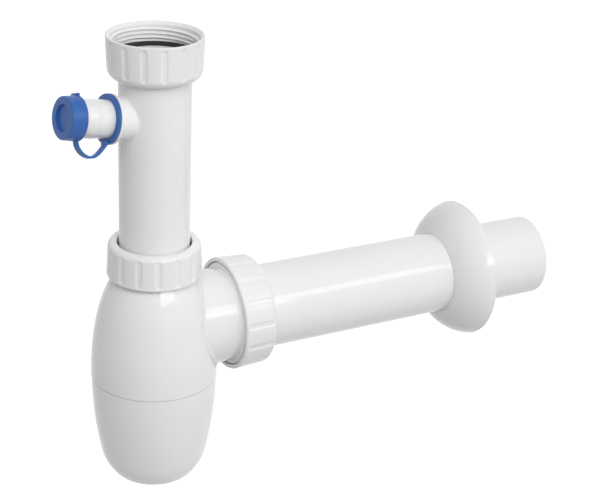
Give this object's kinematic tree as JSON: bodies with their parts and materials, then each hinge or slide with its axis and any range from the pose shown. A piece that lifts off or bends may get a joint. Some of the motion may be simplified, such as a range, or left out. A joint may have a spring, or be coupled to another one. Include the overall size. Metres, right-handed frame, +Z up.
{
  "type": "kitchen sink bottle trap",
  "caption": "White plastic bottle trap with a coupling nut for the sink waste, a tilted appliance branch under a blue cap, a screwed cup and a long outlet pipe with a wall rosette.",
  "frame": {"origin": "on the inlet axis, on top of the flat washer where the sink waste's thread seats", "axes": "+Z up the inlet pipe to the sink, +X along the outlet pipe to the wall"},
  "size_m": [0.3204, 0.0858, 0.2683],
  "materials": {
    "white_gloss": "gloss",
    "white_satin": "satin",
    "blue_plastic": "satin",
    "black_rubber": "matte"
  },
  "bodies": {
    "sink_nut": {"top_nut": "white_satin"},
    "inlet": {"top_washer": "black_rubber", "inlet_pipe": "white_satin"},
    "tether": {"closure_ring": "blue_plastic", "closure_strap": "blue_plastic"},
    "cap": {"closure_cap": "blue_plastic"},
    "neck_seal": {"neck_seal": "black_rubber"},
    "bottle": {"bottle_body": "white_gloss"},
    "neck_nut": {"neck_nut": "white_satin"},
    "cup_seal": {"cup_seal": "black_rubber"},
    "cup": {"bottle_cup": "white_gloss"},
    "outlet_nut": {"outlet_nut": "white_satin"},
    "outlet_seal": {"outlet_seal": "black_rubber"},
    "outlet": {"outlet_pipe": "white_gloss"},
    "rosette": {"wall_rosette": "white_gloss"}
  },
  "joints": [
    {"name": "top_nut_turn", "type": "hinge", "parent": "sink_nut", "child": "inlet", "pos_m": [0, 0, 0], "axis": [0, 0, 1], "continuous": true},
    {"name": "tether_turn", "type": "hinge", "parent": "inlet", "child": "tether", "pos_m": [0, 0, -0.0377], "axis": [-0.9727, -0.1367, 0.1874], "continuous": true},
    {"name": "cap_pull", "type": "slide", "parent": "tether", "child": "cap", "axis": [-0.9727, -0.1367, 0.1874], "range_m": [0, 0.009], "deforming": ["closure_strap"]},
    {"name": "height_slide", "type": "slide", "parent": "inlet", "child": "neck_seal", "axis": [0, 0, 1], "range_m": [-0.02, 0.05]},
    {"name": "bottle_turn", "type": "hinge", "parent": "neck_seal", "child": "bottle", "pos_m": [0, 0, -0.164], "axis": [0, 0, 1], "continuous": true},
    {"name": "neck_nut_turn", "type": "hinge", "parent": "bottle", "child": "neck_nut", "pos_m": [0, 0, -0.12], "axis": [0, 0, 1], "continuous": true},
    {"name": "cup_lower", "type": "slide", "parent": "bottle", "child": "cup_seal", "axis": [0, 0, -1], "range_m": [0, 0.0145]},
    {"name": "cup_unscrew", "type": "hinge", "parent": "cup_seal", "child": "cup", "pos_m": [0, 0, -0.2], "axis": [0, 0, -1], "range_deg": [0, 1440]},
    {"name": "outlet_nut_turn", "type": "hinge", "parent": "bottle", "child": "outlet_nut", "pos_m": [0.0535, 0, -0.164], "axis": [1, 0, 0], "continuous": true},
    {"name": "outlet_turn", "type": "hinge", "parent": "bottle", "child": "outlet_seal", "pos_m": [0.0535, 0, -0.164], "axis": [1, 0, 0], "continuous": true},
    {"name": "outlet_slide", "type": "slide", "parent": "outlet_seal", "child": "outlet", "axis": [1, 0, 0], "range_m": [-0.001, 0.011]},
    {"name": "rosette_slide", "type": "slide", "parent": "outlet", "child": "rosette", "axis": [1, 0, 0], "range_m": [-0.118, 0.05]}
  ],
  "couplings": [
    {"joint": "cup_lower", "follows": "cup_unscrew", "m_per_rad": 0.00055704}
  ]
}
